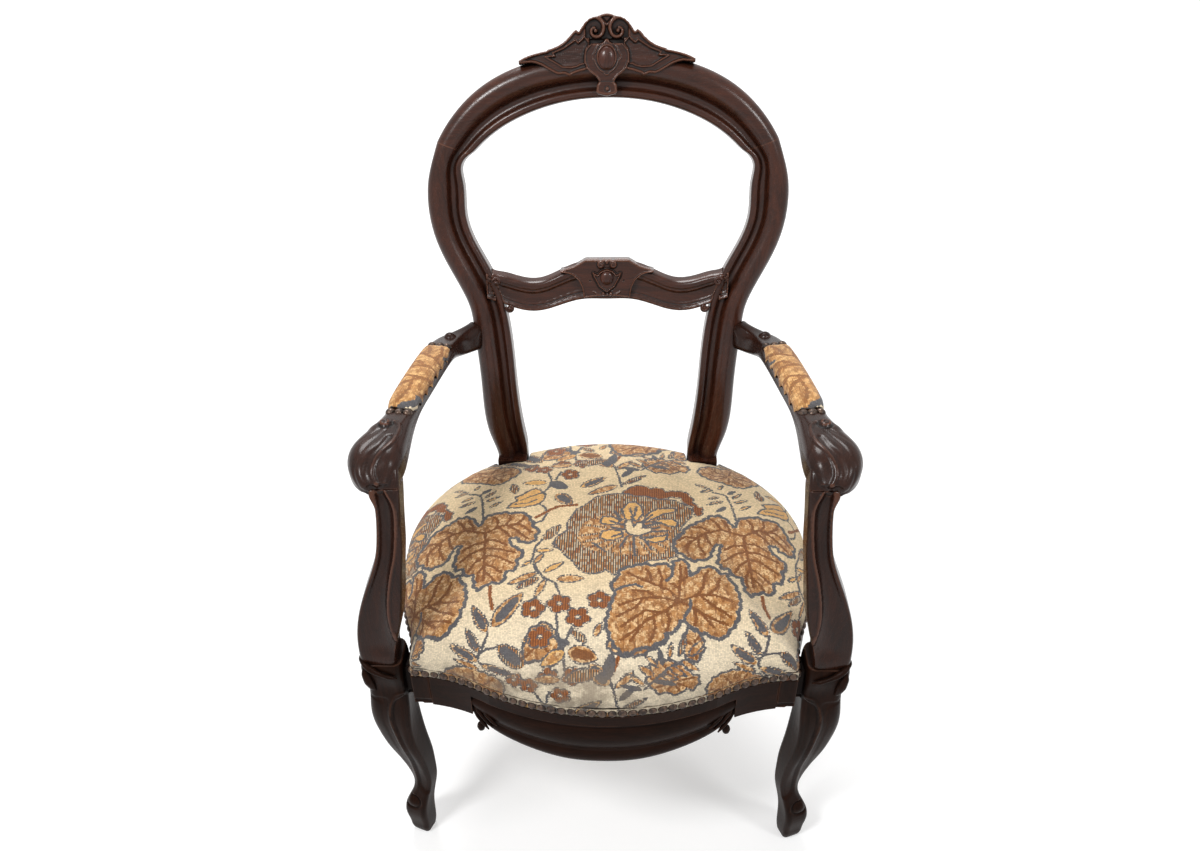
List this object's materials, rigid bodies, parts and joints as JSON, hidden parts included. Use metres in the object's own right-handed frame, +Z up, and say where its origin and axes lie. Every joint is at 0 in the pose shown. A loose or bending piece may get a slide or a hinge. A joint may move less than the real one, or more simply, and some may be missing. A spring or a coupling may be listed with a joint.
{
  "type": "open armchair",
  "caption": "Balloon-back open armchair in carved dark walnut with cabriole front legs, scrolled arms, padded armrests and a close-nailed tapestry seat.",
  "frame": {"origin": "on the floor under the middle of the chair's bounding box", "axes": "+Z up from the floor, +Y to the back, +X to the viewer's right; the chair is the same on both sides of X = 0"},
  "size_m": [0.612, 0.65, 1.0172],
  "materials": {
    "walnut": "dark polished walnut, worn reddish on the edges",
    "cabochon_wood": "rubbed reddish walnut",
    "dowel_wood": "plain beech",
    "frame_wood": "plain sawn beech",
    "screw_steel": "dull steel",
    "spring_steel": "coppered steel wire",
    "jute_webbing": "woven jute strap",
    "tack_steel": "blued steel",
    "hessian": "open jute cloth",
    "stuffing": "hair stuffing in calico",
    "tapestry": "ribbed floral tapestry, cream with brown and slate",
    "nail_bronze": "dark antiqued bronze domes"
  },
  "bodies": {
    "root": {"crest_rail": "walnut", "crest_carving": "walnut", "crest_scrolls": "walnut", "left_stile": "walnut", "right_stile": "walnut", "cross_rail": "walnut", "cross_rail_plate": "walnut", "left_arm": "walnut", "right_arm": "walnut", "left_arm_support": "walnut", "right_arm_support": "walnut", "left_front_leg": "walnut", "right_front_leg": "walnut", "front_rail": "walnut", "left_side_rail": "walnut", "right_side_rail": "walnut", "back_rail": "walnut", "left_arm_button": "walnut", "right_arm_button": "walnut", "crest_cabochon": "cabochon_wood", "cross_rail_cabochon": "cabochon_wood", "crest_dowels": "dowel_wood", "cross_rail_dowels": "dowel_wood", "hand_dowels": "dowel_wood", "support_dowels": "dowel_wood", "seat_rail_dowels": "dowel_wood", "corner_blocks": "frame_wood", "webbing_batten": "frame_wood", "corner_block_screws": "screw_steel", "arm_screws": "screw_steel", "seat_springs": "spring_steel", "webbing_long": "jute_webbing", "webbing_cross": "jute_webbing", "webbing_tacks": "tack_steel", "spring_hessian": "hessian", "seat_stuffing": "stuffing", "left_arm_pad_stuffing": "stuffing", "right_arm_pad_stuffing": "stuffing", "seat_cover": "tapestry", "left_arm_pad_cover": "tapestry", "right_arm_pad_cover": "tapestry", "seat_nails_front": "nail_bronze", "seat_nails_back": "nail_bronze", "seat_nails_left": "nail_bronze", "seat_nails_right": "nail_bronze", "left_arm_pad_nails": "nail_bronze", "right_arm_pad_nails": "nail_bronze"}
  },
  "joints": []
}
